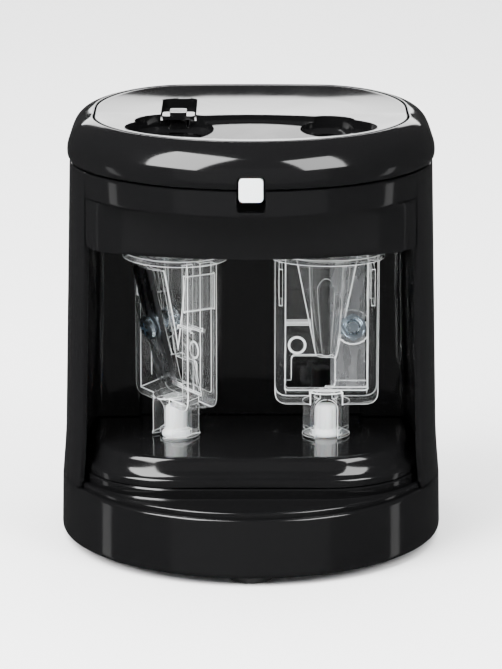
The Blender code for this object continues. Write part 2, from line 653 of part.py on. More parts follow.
def cutter_hardware(side, steel, zinc, parent):
    """Blade on its sloping seat, held by a screw and a hexagon nut."""
    seat = {"at": (0.0, seat_y(SCREW_Z), SCREW_Z), "turn": (CONE_TILT, 0.0, 0.0), "parent": parent}
    edge = [(-8.9, -0.3), (-0.9, -0.3), (-1.7, -1.0), (-8.9, -1.0)]
    blade = add(f"cutter_blade_{side}", prism(edge, -13.7, 14.8), steel, **seat)
    combine(blade, turned([(1.8, -3.0), (1.8, 3.0)], 14), at=(SCREW_X, 0.0, 0.0), turn=(90.0, 0.0, 0.0))
    lying = {"at": (SCREW_X, seat_y(SCREW_Z), SCREW_Z),
             "turn": (CONE_TILT - 90.0, 0.0, 0.0), "parent": parent}
    shape = screw_shape(2.9, 1.6, 1.5, 8.6)
    lowered = [(x, y, z - 2.9) for x, y, z in shape[0]]
    add(f"blade_screw_{side}", (lowered, shape[1]), zinc, **lying)
    nut = turned([(3.2, 2.9), (3.2, 5.2), (1.8, 5.2), (1.8, 2.9)], 6, ring=True)
    add(f"blade_nut_{side}", nut, zinc, **lying)


def cutters(clear, steel, zinc, white):
    """Both cartridges with their spindles and spindle gears, each on its own axis."""
    gap_at_zero = 180.0 / SPINDLE_TEETH
    for side, x, turn in (("left", -SPINDLE_X, LEFT_TURN), ("right", SPINDLE_X, RIGHT_TURN)):
        axis = pivot(f"cutter_{side}_axis", (x, SPINDLE_Y, 0.0), turn)
        cutter_body(side, clear, axis)
        cutter_hardware(side, steel, zinc, axis)
        add(f"spindle_{side}", turned([
            (1.5, 8.3), (1.5, 9.9), (2.4, 9.9), (2.4, 24.6), (3.2, 24.9), (3.2, 25.7), (2.4, 26.4),
            (2.4, 31.4), (1.8, 32.2)], 18), white, parent=axis)
        phase = -turn if side == "left" else 180.0 + gap_at_zero - turn
        gear(f"spindle_gear_{side}", [(SPINDLE_TEETH, FINE_MODULE, phase, GEAR_Z, GEAR_Z + 3.5)],
             2.7, white, axis)


# ---------------------------------------------------------------- assembly

def main():
    clear_scene()
    black = material("gloss_black", (0.012, 0.012, 0.013), 0.12)
    grey = material("grey_plastic", (0.35, 0.35, 0.36), 0.5)
    rubber = material("rubber", (0.02, 0.02, 0.02), 0.9)
    white = material("white_plastic", (0.85, 0.86, 0.86), 0.3)
    clear = material("clear_plastic", (0.9, 0.93, 0.95), 0.05, alpha=0.35)
    steel = material("steel", (0.55, 0.56, 0.58), 0.25, 1.0)
    zinc = material("zinc", (0.62, 0.7, 0.78), 0.2, 1.0)
    brass = material("brass", (0.75, 0.55, 0.2), 0.3, 1.0)
    green = material("board_green", (0.02, 0.2, 0.07), 0.4)
    base_tray(black)
    bottom_cover(grey)
    fasteners_below(steel)
    feet(rubber)
    platform_cover(black)
    gear_chassis(grey)
    gear_train(white, brass, steel)
    motor(steel, black)
    electrics(green, black)
    start_switches(black, steel)
    rear_shell(black)
    cavity_wall(black)
    hood(black)
    top_cap(black)
    top_panel(black)
    guide_deck(grey)
    pencil_guides(grey)
    selector_slide(black)
    interlock(white, steel, black)
    cutters(clear, steel, zinc, white)


main()
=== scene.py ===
"""Looks of the desktop electric pencil sharpener.

Finely shaped shells and clear cutter cartridges on the CAD's bodies, their materials, and the
studio and camera round them. Lengths are in millimetres and angles in degrees unless said
otherwise.
"""

import json
import math

import bmesh
import bpy
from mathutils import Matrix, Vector


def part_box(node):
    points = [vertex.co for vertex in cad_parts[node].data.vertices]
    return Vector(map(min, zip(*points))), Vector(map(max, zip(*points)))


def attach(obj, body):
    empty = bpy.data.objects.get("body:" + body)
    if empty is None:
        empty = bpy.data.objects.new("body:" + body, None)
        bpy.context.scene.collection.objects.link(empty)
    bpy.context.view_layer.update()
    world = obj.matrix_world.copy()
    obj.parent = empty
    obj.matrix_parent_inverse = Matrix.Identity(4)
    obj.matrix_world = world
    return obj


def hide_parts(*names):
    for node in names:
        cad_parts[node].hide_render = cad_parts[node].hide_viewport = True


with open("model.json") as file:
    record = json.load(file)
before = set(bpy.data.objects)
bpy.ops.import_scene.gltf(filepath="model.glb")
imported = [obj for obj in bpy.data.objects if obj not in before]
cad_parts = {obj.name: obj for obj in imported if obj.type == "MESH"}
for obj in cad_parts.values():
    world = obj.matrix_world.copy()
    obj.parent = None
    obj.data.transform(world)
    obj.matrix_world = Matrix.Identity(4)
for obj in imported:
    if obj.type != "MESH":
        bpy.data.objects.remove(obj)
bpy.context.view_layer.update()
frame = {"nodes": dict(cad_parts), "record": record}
NODES = frame["nodes"]
MM = 0.001


def node_box(name):
    """A CAD node's box in millimetres."""
    low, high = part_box(name)
    return low / MM, high / MM


# ---------------------------------------------------------------- driving places, from the frame

base_low, base_high = node_box("base_tray")
panel_low = node_box("top_panel")[0]
wall_low, wall_high = node_box("cavity_wall")
spindle_low, spindle_high = node_box("spindle_right")

# Plan of the casing: a round front, straight sides and rounded rear corners
BASE_R = base_high.x
ARC_Y = base_low.y + BASE_R
BACK_Y = base_high.y
REAR_CORNER = 20.0
PLAN_POINTS = 240

# Top plate: its plan, and how far in from the rim its upward sweep starts
PANEL_R = 35.8
PANEL_REAR = 29.8
SWEEP = 25.8
PANEL_TOP = 97.9
DISH_FLOOR = 94.9
DISH_Y = -14.3

# Cap: height of its crest in front and behind, and the arc of its shoulder in radians
CREST_FRONT = 98.0
CREST_REAR = 100.65
CREST_START = 4.0
CREST_CROWN = 0.7
SHOULDER_TURN = math.radians(70.0)

# Front edges of the rear shell, as an angle below the +X axis, and the hood's seam beside them
SHELL_FRONT = -26.3
SEAM = 0.4
SET_BACK_Y = 43.2

SPINDLE_X = (spindle_low.x + spindle_high.x) / 2
SPINDLE_Y = (spindle_low.y + spindle_high.y) / 2
SELECTOR_TRAVEL = 12.2

# Fineness of the outlines and of the softened edges
FAR_OUT = 80.0
HALVINGS = 30
BEVEL_STEPS = 3
BEVEL_ANGLE = 32.0


# ---------------------------------------------------------------- mesh tools

def circle(radius, z, sides=64, centre=(0.0, 0.0)):
    """Points of a level circle."""
    turns = [2 * math.pi * i / sides for i in range(sides)]
    return [(centre[0] + radius * math.cos(a), centre[1] + radius * math.sin(a), z) for a in turns]


def loft(loops, ring=False):
    """Points and faces through loops of equal length, capped at both ends or closed as a ring."""
    n = len(loops[0])
    points = [point for loop in loops for point in loop]
    pairs = [(k, k + 1) for k in range(len(loops) - 1)]
    if ring:
        pairs.append((len(loops) - 1, 0))
    faces = [
        (a * n + i, a * n + (i + 1) % n, b * n + (i + 1) % n, b * n + i)
        for a, b in pairs
        for i in range(n)
    ]
    if not ring:
        faces.append(tuple(reversed(range(n))))
        faces.append(tuple(range(len(points) - n, len(points))))
    return points, faces


def turned(profile, sides=64, centre=(0.0, 0.0), ring=False):
    """A solid of revolution through (radius, z) pairs."""
    return loft([circle(r, z, sides, centre) for r, z in profile], ring)


def prism(plan, bottom, top):
    """A plan drawn up from one height to another."""
    return loft([[(x, y, z) for x, y in plan] for z in (bottom, top)])


def through(view, front, rear):
    """A view from the front, as (x, z) pairs, drawn back from one y to another."""
    return loft([[(x, y, z) for x, z in view] for y in (front, rear)])


def box(x0, x1, y0, y1, z0, z1):
    """A plain block between two limits on each axis."""
    return prism([(x0, y0), (x1, y0), (x1, y1), (x0, y1)], z0, z1)


def round_rect(x0, x1, y0, y1, radius, steps=6):
    """A rectangle's outline with round corners."""
    points = []
    for cx, cy, start in ((x1 - radius, y1 - radius, 0), (x0 + radius, y1 - radius, 90),
                          (x0 + radius, y0 + radius, 180), (x1 - radius, y0 + radius, 270)):
        for k in range(steps + 1):
            turn = math.radians(start + 90 * k / steps)
            points.append((cx + radius * math.cos(turn), cy + radius * math.sin(turn)))
    return points


def fillet(start, corner, end, steps=5):
    """Points of a soft corner from start to end, pulled towards the corner."""
    points = []
    for k in range(steps + 1):
        t = k / steps
        points.append(tuple((1 - t) ** 2 * a + 2 * t * (1 - t) * b + t * t * c
                            for a, b, c in zip(start, corner, end)))
    return points


def mesh_object(name, shape):
    """A mesh object of a shape, with its faces turned outwards."""
    points, faces = shape
    mesh = bpy.data.meshes.new(name)
    mesh.from_pydata([Vector(p) * MM for p in points], [], faces)
    work = bmesh.new()
    work.from_mesh(mesh)
    bmesh.ops.recalc_face_normals(work, faces=work.faces)
    work.to_mesh(mesh)
    work.free()
    made = bpy.data.objects.new(name, mesh)
    bpy.context.scene.collection.objects.link(made)
    return made


def boolean(target, shape, operation="DIFFERENCE", at=(0.0, 0.0, 0.0), turn=(0.0, 0.0, 0.0)):
    """Cuts or joins a shape and applies it at once."""
    tool = mesh_object("tool", shape)
    tool.location = Vector(at) * MM
    tool.rotation_euler = [math.radians(angle) for angle in turn]
    bpy.context.view_layer.update()
    step = target.modifiers.new("step", "BOOLEAN")
    step.operation = operation
    step.object = tool
    step.solver = "EXACT"
    apply_modifiers(target)
    bpy.data.objects.remove(tool, do_unlink=True)


def apply_modifiers(target):
    """Bakes an object's modifiers into its mesh."""
    graph = bpy.context.evaluated_depsgraph_get()
    made = bpy.data.meshes.new_from_object(target.evaluated_get(graph))
    target.modifiers.clear()
    target.data = made


def finish_piece(piece, look, body, nodes=(), bevel=0.0, angle=35.0, edge_highlight_look=None):
    """Softens the edges, sets the materials, and hangs the piece on its body. An optional second look
    paints a highlight onto the bevelled edges.
    """
    piece.data.materials.clear()
    piece.data.materials.append(look)
    if edge_highlight_look:
        piece.data.materials.append(edge_highlight_look)
    if bevel:
        edge = piece.modifiers.new("soft_edges", "BEVEL")
        edge.width = bevel * MM
        edge.segments = BEVEL_STEPS
        edge.limit_method = "ANGLE"
        edge.angle_limit = math.radians(BEVEL_ANGLE)
        # The bevels can take the edge highlight look, a painted highlight.
        edge.material = 1 if edge_highlight_look else -1
        edge.use_clamp_overlap = edge_highlight_look is None
        apply_modifiers(piece)
    piece.data.shade_smooth()
    piece.data.set_sharp_from_angle(angle=math.radians(angle))
    even = piece.modifiers.new("even_shading", "WEIGHTED_NORMAL")
    even.keep_sharp = True
    apply_modifiers(piece)
    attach(piece, body)
    if nodes:
        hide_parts(*nodes)
    return piece


# ---------------------------------------------------------------- plan outlines

def within_rounded(half_width, front, rear, front_corner, rear_corner):
    """A test for points inside a rectangle with its own corners in front and behind."""
    def inside(x, y):
        x = abs(x)
        if x >= half_width or not front < y < rear:
            return False
        for corner, side, edge in ((front_corner, -1, front), (rear_corner, 1, rear)):
            middle = edge - side * corner
            if x > half_width - corner and side * (y - middle) > 0:
                return math.hypot(x - half_width + corner, y - middle) < corner
        return True
    return inside


def within_body(inset):
    """A test for points inside the casing's plan, drawn in by an inset."""
    r = BASE_R - inset
    return within_rounded(r, ARC_Y - r, BACK_Y - inset, r, REAR_CORNER - inset)


FULL_TURN = [2 * math.pi * i / PLAN_POINTS for i in range(PLAN_POINTS)]


def outline(inside, angles=FULL_TURN, centre=(0.0, ARC_Y)):
    """Where rays from a centre leave a shape, found by halving."""
    cx, cy = centre
    points = []
    for angle in angles:
        low, high = 0.0, FAR_OUT
        for _ in range(HALVINGS):
            middle = (low + high) / 2
            x, y = cx + middle * math.cos(angle), cy + middle * math.sin(angle)
            low, high = (middle, high) if inside(x, y) else (low, middle)
        points.append((cx + low * math.cos(angle), cy + low * math.sin(angle)))
    return points


def level(points, z):
    """A plan laid at one height."""
    return [(x, y, z) for x, y in points]


def body_level(inset, z, angles=FULL_TURN):
    """The casing's plan, drawn in by an inset, at one height."""
    return level(outline(within_body(inset), angles), z)


def body_rails(profile, angles=FULL_TURN):
    """Levels of the casing's plan for (inset, z) pairs."""
    return [body_level(inset, z, angles) for inset, z in profile]


# ---------------------------------------------------------------- materials

def shader_of(look):
    return look.node_tree.nodes["Principled BSDF"]


def new_look(name, colour, roughness, metallic=0.0, **inputs):
    """A material; other shader sockets are named with underscores for spaces."""
    look = bpy.data.materials.new(name)
    look.use_nodes = True
    shader = shader_of(look)
    shader.inputs["Base Color"].default_value = (*colour, 1.0)
    shader.inputs["Roughness"].default_value = roughness
    shader.inputs["Metallic"].default_value = metallic
    for key, value in inputs.items():
        shader.inputs[key.replace("_", " ")].default_value = value
    return look


def noise(look, scale, detail=4.0, stretch=(1.0, 1.0, 1.0)):
    """Noise in the object's own coordinates."""
    nodes, links = look.node_tree.nodes, look.node_tree.links
    place = nodes.new("ShaderNodeTexCoord")
    spread = nodes.new("ShaderNodeMapping")
    spread.inputs["Scale"].default_value = stretch
    texture = nodes.new("ShaderNodeTexNoise")
    texture.inputs["Scale"].default_value = scale
    texture.inputs["Detail"].default_value = detail
    links.new(place.outputs["Object"], spread.inputs["Vector"])
    links.new(spread.outputs["Vector"], texture.inputs["Vector"])
    return texture


def add_bump(look, scale, height, stretch=(1.0, 1.0, 1.0), detail=4.0):
    """Fine surface relief; height is in metres."""
    nodes, links = look.node_tree.nodes, look.node_tree.links
    bump = nodes.new("ShaderNodeBump")
    bump.inputs["Distance"].default_value = height
    bump.inputs["Strength"].default_value = 1.0
    links.new(noise(look, scale, detail, stretch).outputs["Fac"], bump.inputs["Height"])
    links.new(bump.outputs["Normal"], shader_of(look).inputs["Normal"])


def vary_roughness(look, scale, low, high, stretch=(1.0, 1.0, 1.0)):
    """Lets the roughness wander between two values."""
    nodes, links = look.node_tree.nodes, look.node_tree.links
    spread = nodes.new("ShaderNodeMapRange")
    spread.inputs["From Min"].default_value = 0.3
    spread.inputs["From Max"].default_value = 0.7
    spread.inputs["To Min"].default_value = low
    spread.inputs["To Max"].default_value = high
    links.new(noise(look, scale, 6.0, stretch).outputs["Fac"], spread.inputs["Value"])
    links.new(spread.outputs["Result"], shader_of(look).inputs["Roughness"])


def gloss_black():
    look = new_look("gloss_black", (0.004, 0.004, 0.0042), 0.1, Specular_IOR_Level=0.45)
    vary_roughness(look, 60.0, 0.06, 0.13)
    add_bump(look, 45.0, 0.000012, detail=1.0)
    return look


def satin_black():
    look = new_look("satin_black", (0.012, 0.012, 0.012), 0.45)
    vary_roughness(look, 300.0, 0.38, 0.52)
    add_bump(look, 2500.0, 0.00001)
    return look


def grey_plastic():
    look = new_look("grey_plastic", (0.16, 0.16, 0.165), 0.4)
    vary_roughness(look, 250.0, 0.35, 0.5)
    add_bump(look, 2000.0, 0.00001)
    return look


def clear_plastic():
    """Clear moulding: nearly see-through face on, glossy where it is seen along its faces."""
    look = new_look("clear_plastic", (0.96, 0.98, 0.98), 0.04, IOR=1.49,
                    Transmission_Weight=0.9)
    nodes, links = look.node_tree.nodes, look.node_tree.links
    facing = nodes.new("ShaderNodeLayerWeight")
    facing.inputs["Blend"].default_value = 0.3
    spread = nodes.new("ShaderNodeMapRange")
    spread.inputs["To Min"].default_value = 0.06
    spread.inputs["To Max"].default_value = 0.8
    links.new(facing.outputs["Facing"], spread.inputs["Value"])
    links.new(spread.outputs["Result"], shader_of(look).inputs["Alpha"])
    add_bump(look, 130.0, 0.00002, detail=2.0)
    return look


def painted_edge_highlight():
    """Painted highlight on the narrow rounded edges of the clear moulding: a whiter, nearly opaque
    finish stands in for the light that such edges gather.
    """
    look = new_look("painted_edge_highlight", (0.95, 0.98, 0.98), 0.22, Alpha=0.85,
                    Transmission_Weight=0.1)
    add_bump(look, 400.0, 0.00002, detail=2.0)
    return look


def white_plastic():
    look = new_look("white_plastic", (0.88, 0.91, 0.92), 0.32, Subsurface_Weight=0.12)
    shader_of(look).inputs["Subsurface Scale"].default_value = 0.002
    vary_roughness(look, 200.0, 0.26, 0.4)
    add_bump(look, 1200.0, 0.00001)
    return look


def steel():
    look = new_look("blade_steel", (0.60, 0.61, 0.63), 0.25, 1.0)
    vary_roughness(look, 400.0, 0.18, 0.36, (1.0, 1.0, 0.05))
    add_bump(look, 900.0, 0.000006, (1.0, 1.0, 0.04))
    return look


def zinc():
    look = new_look("zinc_plate", (0.66, 0.76, 0.84), 0.22, 1.0)
    vary_roughness(look, 700.0, 0.15, 0.35)
    add_bump(look, 1500.0, 0.000008)
    return look


def rubber():
    look = new_look("rubber", (0.018, 0.018, 0.018), 0.8)
    vary_roughness(look, 400.0, 0.7, 0.9)
    add_bump(look, 1800.0, 0.00003)
    return look


def brass():
    look = new_look("brass", (0.72, 0.52, 0.2), 0.28, 1.0)
    vary_roughness(look, 500.0, 0.2, 0.38)
    return look


def board_green():
    look = new_look("board_green", (0.015, 0.14, 0.05), 0.35)
    add_bump(look, 700.0, 0.00002)
    return look


LOOKS = {
    "gloss_black": gloss_black(),
    "black_plastic": satin_black(),
    "grey_plastic": grey_plastic(),
    "clear_plastic": clear_plastic(),
    "white_plastic": white_plastic(),
    "steel": steel(),
    "zinc": zinc(),
    "rubber": rubber(),
    "brass": brass(),
    "board": board_green(),
}
BLACK = LOOKS["gloss_black"]
# The clear moulding's bevels take a painted edge highlight.
EDGE_HIGHLIGHT = painted_edge_highlight()


def dress_cad_nodes():
    """Every CAD node takes the finish of its material slot."""
    for entry in frame["record"]["subparts"]:
        mesh = NODES[entry["node"]].data
        mesh.materials.clear()
        mesh.materials.append(LOOKS[entry["material_slot"]])


# ---------------------------------------------------------------- casing

def base_tray():
    """Flared apron with a double lip, the tray behind it and the raised plinth."""
    floor_z, plinth_z = 13.8, 18.3

    def plinth(half_width, front, rear, front_corner, rear_corner, z):
        return level(outline(within_rounded(half_width, front, rear, front_corner, rear_corner)), z)
    foot = fillet((0.8, 1.8), (0.0, 1.8), (0.0, 2.8), 4)
    lip = fillet((0.25, 14.5), (0.27, 15.2), (0.9, 15.2), 5)
    tongue = fillet((1.75, 15.9), (1.75, 16.4), (2.2, 16.4), 4)
    inner_lip = fillet((2.8, 16.4), (3.2, 16.4), (3.3, 15.8), 4)
    rails = body_rails(foot + lip + [(1.6, 15.15), (1.7, 15.0), (1.75, 15.3)] + tongue + inner_lip)
    rails += [
        plinth(39.3, -28.7, 36.3, 23.3, 14.3, 15.8),
        plinth(39.0, -28.4, 36.0, 23.0, 14.0, 16.1),
        plinth(39.0, -28.4, 36.0, 23.0, 14.0, 18.0),
        plinth(38.7, -28.1, 35.7, 22.7, 13.7, plinth_z),
        plinth(37.0, -26.4, 34.0, 21.0, 12.0, plinth_z),
        plinth(37.0, -26.4, 34.0, 21.0, 12.0, floor_z)]
    rails += body_rails([(2.6, floor_z), (2.3, 1.8)])
    piece = mesh_object("tray_shell", loft(rails, ring=True))
    inlet_r, inlet_z = 4.0, 8.2
    boolean(piece, turned([(inlet_r, -3.0), (inlet_r, 3.0)], 48),
            at=(0.0, 41.0, inlet_z), turn=(90.0, 0.0, 0.0))
    finish_piece(piece, BLACK, "housing", ("base_tray",))


def platform_cover():
    """Floor of the bin space, with its ledge, sloping skirt and softly rounded top edge."""
    top_z, under_z, rim_z = 24.8, 22.8, 18.6
    skirt_steps, skirt_low, skirt_rise, skirt_bow = 6, 20.6, 3.2, 0.7

    def plan(half, front, corner, z, rear=36.0, rear_corner=14.0):
        return level(outline(within_rounded(half, front, rear, corner, rear_corner)), z)
    rails = [plan(38.4, -28.0, 22.0, rim_z), plan(38.4, -28.0, 22.0, 19.8)]
    rails += [plan(38.2, -27.8, 21.8, 20.2), plan(37.9, -27.5, 21.6, 20.45)]
    for k in range(skirt_steps + 1):
        t = k / skirt_steps
        bow = t ** skirt_bow
        rails.append(plan(37.6 - 1.4 * bow, -27.2 + 1.6 * bow, 21.4 - 1.4 * t,
                          skirt_low + skirt_rise * t))
    rails += [plan(35.95, -25.35, 19.8, 24.35), plan(35.5, -24.9, 19.4, 24.7)]
    rails += [plan(34.8, -24.2, 18.8, top_z)]
    # The ring closes through a small square in the middle, which a plug then fills
    rails += [plan(1.0, 1.0, 0.4, z, 3.0, 0.4) for z in (top_z, under_z)]
    rails += [plan(34.2, -23.6, 18.2, under_z, 34.2, 12.0), plan(36.4, -26.0, 20.0, rim_z, 34.0, 12.0)]
    piece = mesh_object("platform_shell", loft(rails, ring=True))
    boolean(piece, turned([(2.0, under_z - 0.2), (2.0, top_z)], 32, (0.0, ARC_Y)), "UNION")
    spindle_hole = [(3.6, 20.0), (3.6, 24.5), (3.9, 24.9)]
    for x in (-SPINDLE_X, SPINDLE_X):
        boolean(piece, turned(spindle_hole, 48, (x, SPINDLE_Y)))
    shaft_hole, shaft_y = 4.5, node_box("motor_shaft")[0].y + 1.0
    boolean(piece, turned([(shaft_hole, 20.0), (shaft_hole, 26.0)], 32, (0.0, shaft_y)))
    finish_piece(piece, BLACK, "housing", ("platform_cover",))


def shell_inset(z):
    """How far the rear shell stands in from the casing's plan, which tapers upwards."""
    steps = ((15.6, 0.35), (22.0, 0.9), (26.0, 1.15), (88.0, 2.75))
    for (z0, inset0), (z1, inset1) in zip(steps, steps[1:]):
        if z <= z1:
            return inset0 + (inset1 - inset0) * (z - z0) / (z1 - z0)
    return steps[-1][1]


def rear_shell():
    """Tapering outer wall round the sides and back, with rounded front edges and a soft top edge."""
    heights = [15.6, 16.8, 18.5, 20.0, 21.5, 23.0, 24.5, 26.0, 36.0, 56.0, 76.0, 87.5, 88.0]
    wall, top_edge, tongue_inset = 1.4, 0.25, 1.4
    count = 180
    first = math.radians(SHELL_FRONT)
    angles = [first + (math.pi - 2 * first) * i / count for i in range(count + 1)]
    rails = [body_level(shell_inset(z), z, angles) for z in heights[:-1]]
    rails.append(body_level(shell_inset(heights[-1]) + top_edge, heights[-1], angles))
    rails += [body_level(shell_inset(z) + wall, z, angles) for z in reversed(heights[1:])]
    rails += [body_level(tongue_inset, z, angles) for z in reversed(heights[:2])]
    piece = mesh_object("shell_wall", loft([[rail[i] for rail in rails] for i in range(count + 1)]))
    finish_piece(piece, BLACK, "housing", ("rear_shell",), bevel=0.3)


def cavity_wall():
    """Liner of the bin space, its corners rounded as a moulding's are."""
    def plan(z):
        """The liner's plan, from one front edge round the back to the other."""
        lean = shell_inset(z) - shell_inset(wall_low.z)
        inner = [(38.3 - lean, -15.2), (37.6 - lean, -6.0)]
        inner += fillet((36.3 - lean, 7.4), (36.2 - lean, 9.3), (33.4 - lean, 9.3), 8)
        inner += fillet((26.6, 9.3), (25.8, 9.3), (25.8, 10.1), 5)
        inner += fillet((25.8, 10.7), (25.8, 11.3), (25.2, 11.3), 4)
        outer = [(27.0, 12.6), (27.0, 10.6), (35.6 - lean, 10.6), (37.6 - lean, 8.2),
                 (39.0 - lean, -15.2)]
        left = [(-x, y) for x, y in reversed(inner)] + [(-x, y) for x, y in reversed(outer)]
        return level(inner + left + outer, z)
    piece = mesh_object("cavity_liner", loft([plan(wall_low.z), plan(wall_high.z)]))
    finish_piece(piece, BLACK, "housing", ("cavity_wall",))


def hood_plan(front_r, side_inset, rear, set_back=None):
    """A test for points inside the hood; set_back cuts its front along a flatter arc."""
    sides = within_body(side_inset)

    def inside(x, y):
        if math.degrees(math.atan2(y - ARC_Y, abs(x))) < SHELL_FRONT - SEAM:
            clear = set_back is None or math.hypot(x, y - SET_BACK_Y) < set_back
            return math.hypot(x, y - ARC_Y) < front_r and clear
        return sides(x, y) and y < rear
    return inside


def hood():
    """Band over the bin space: flush posts at its ends, a set-back lower band and a brow over it."""
    front_steps, back_steps = 160, 60
    edge = SHELL_FRONT
    front = [math.radians(180 - edge + 0.5 + (179 + 2 * edge) * i / front_steps)
             for i in range(front_steps + 1)]
    back = [math.radians(edge + 0.5 + (179 - 2 * edge) * i / back_steps)
            for i in range(back_steps + 1)]
    angles = front + back
    outer_r, inner_r, band = 41.2, 38.0, 73.0
    brow_low, top_z = 82.1, 88.0

    def plan(z, front_r, set_back=None, side=5.2, rear=15.0):
        return level(outline(hood_plan(front_r, side, rear, set_back), angles), z)

    def soft(z, drop):
        """The lower band, drawn in a little as it meets its bottom edge."""
        return plan(z, outer_r - drop, band - drop)

    def inside(z, set_back=None):
        return plan(z, inner_r, set_back, 8.0, 13.0)
    rails = [soft(70.9, 0.8), soft(71.0, 0.35), soft(71.4, 0.05), soft(72.0, 0.0), soft(80.6, 0.0)]
    rails += [plan(81.5, outer_r, 73.2), plan(brow_low, outer_r, 73.9)]
    brow = ((0.7, brow_low), (0.2, 82.25), (0.0, 82.7), (0.0, 87.2), (0.15, 87.8), (0.5, top_z))
    rails += [plan(z, outer_r - drop) for drop, z in brow]
    rails += [inside(top_z), inside(84.1), inside(84.0, 69.8), inside(72.9, 69.8)]
    piece = mesh_object("hood_band", loft(rails))
    bearing_r = 8.3
    for x in (-SPINDLE_X, SPINDLE_X):
        boolean(piece, turned([(bearing_r, 70.0), (bearing_r, 75.0)], 96, (x, SPINDLE_Y)))
    boolean(piece, prism(round_rect(-19.5, 19.5, -60.0, -28.9, 1.0), 60.0, brow_low - 0.05))
    boolean(piece, through(round_rect(-3.1, 3.1, 83.3, 95.0, 0.8), -45.0, -33.2))
    finish_piece(piece, BLACK, "housing", ("hood",))


def panel_outline(inset):
    """The top plate's plan, drawn in by an inset."""
    r = PANEL_R - inset
    return outline(within_rounded(r, ARC_Y - r, PANEL_REAR - inset, r, max(20.0 - inset, 2.0)))


def crest(x, y):
    """Height of the cap's crest: level in front, rising to the back and highest in its middle."""
    t = min(1.0, max(0.0, (y - CREST_START) / (PANEL_REAR - CREST_START)))
    rear = CREST_REAR - CREST_CROWN * (x / BASE_R) ** 2
    return CREST_FRONT + (rear - CREST_FRONT) * t ** 1.2


def plate_loop(inset, drop=0.0):
    """A level of the top plate, which sweeps up from its middle to just under the crest."""
    share = max(0.0, 1 - inset / SWEEP) ** 2
    return [
        (x, y, round(PANEL_TOP + (crest(*rim) - 0.1 - PANEL_TOP) * share - drop, 3))
        for (x, y), rim in zip(panel_outline(inset), panel_outline(0.0))]


def top_cap():
    """Bullnose ring that crowns the body round the top panel."""
    bulge = outline(within_body(2.25))
    inner = panel_outline(0.0)
    bulge_z, seat_z, under_z, foot_z = 90.4, 93.6, 92.3, 88.3
    steps = 21

    def shoulder(turn):
        rise = math.sin(turn) / math.sin(SHOULDER_TURN)
        reach = (1 - math.cos(turn)) / (1 - math.cos(SHOULDER_TURN))
        return [
            (bx + (ix - bx) * reach, by + (iy - by) * reach, bulge_z + (crest(ix, iy) - bulge_z) * rise)
            for (bx, by), (ix, iy) in zip(bulge, inner)]
    rails = body_rails([(3.1, foot_z), (2.75, 88.5), (2.4, 89.2), (2.28, 89.8)])
    rails.append(level(bulge, bulge_z))
    rails += [shoulder(SHOULDER_TURN * k / steps) for k in range(1, steps - 1)]
    corner = [(x, y, crest(x, y)) for x, y in inner]
    inside = [(x, y, crest(x, y) - 0.45) for x, y in inner]
    rails += zip(*[fillet(*points) for points in zip(shoulder(SHOULDER_TURN * 0.95), corner, inside)])
    seat = panel_outline(2.0)
    rails += [level(inner, seat_z), level(seat, seat_z), level(seat, under_z)]
    rails += body_rails([(4.6, under_z), (4.6, foot_z)])
    piece = mesh_object("cap_ring", loft(rails, ring=True))
    boolean(piece, through(round_rect(-3.0, 3.0, 80.0, 91.2, 0.9), -45.0, -36.0))
    finish_piece(piece, BLACK, "housing", ("top_cap",))


def top_panel():
    """Top plate: a rim rising behind, a dished front, countersunk holes and the selector's notch."""
    rails = [level(panel_outline(0.35), panel_low.z)]
    rails += [plate_loop(inset, drop) for inset, drop in ((0.35, 0.3), (0.38, 0.18), (0.46, 0.07))]
    rails += [plate_loop(inset) for inset in (0.6, 1.4, 2.6, 4.5, 6.2, 8.0, 9.7, 11.5, SWEEP)]
    piece = mesh_object("panel_plate", loft(rails))
    # The dish is an ellipse cut as two halves, whose floors slope up behind and in front
    dish_width, dish_depth, steps = 28.0, 16.0, 120
    for half, edge_z in ((1, 96.8), (-1, 96.5)):
        turns = [half * math.pi * i / steps for i in range(steps + 1)]
        dish = [(dish_width * math.cos(a), DISH_Y + dish_depth * math.sin(a)) for a in turns]
        slope = (edge_z - DISH_FLOOR) / dish_depth
        bottom = [(x, y, DISH_FLOOR + slope * abs(y - DISH_Y)) for x, y in dish]
        boolean(piece, loft([bottom, level(dish, 102.0)]))
    for x, mouth, hole in ((-SPINDLE_X, 8.9, 6.8), (SPINDLE_X, 6.2, 4.75)):
        bore = [(hole, 92.0), (hole, panel_low.z + 0.1), (mouth, DISH_FLOOR + 0.2), (mouth, 103.0)]
        boolean(piece, turned(bore, 96, (x, SPINDLE_Y)))
    boolean(piece, prism(round_rect(-20.5, -12.4, 0.2, 19.4, 1.2), 96.5, 102.0))
    boolean(piece, prism(round_rect(-18.8, -14.2, 1.7, 18.6, 0.6), 92.0, 97.5))
    finish_piece(piece, BLACK, "housing", ("top_panel",), bevel=0.22)


def selector():
    """Shutter plate with a ridged thumb tab."""
    plate_low, plate_high = 92.2, 93.6
    plate = outline(within_rounded(26.5, -27.0, 4.0, 16.0, 3.0), centre=(0.0, -10.0))
    piece = mesh_object("selector_plate", prism(plate, plate_low, plate_high))
    for hole, x, y in ((7.2, -SPINDLE_X, SPINDLE_Y), (5.2, SPINDLE_X, SPINDLE_Y - SELECTOR_TRAVEL)):
        boolean(piece, turned([(hole, 91.0), (hole, 95.0)], 64, (x, y)))
    boolean(piece, prism(round_rect(-18.5, -14.5, 2.0, 6.0, 0.5), plate_low, 97.0), "UNION")
    boolean(piece, prism(round_rect(-20.1, -12.8, 0.8, 6.8, 1.0), 96.8, 97.7), "UNION")
    boolean(piece, prism(round_rect(-18.4, -14.6, 0.8, 6.8, 0.8), 97.2, 98.5), "UNION")
    groove = 0.25
    for y in (2.4, 3.8, 5.2):
        boolean(piece, box(-19.0, -14.0, y - groove, y + groove, 98.25, 99.5))
    finish_piece(piece, BLACK, "selector", ("selector_slide",), bevel=0.3)


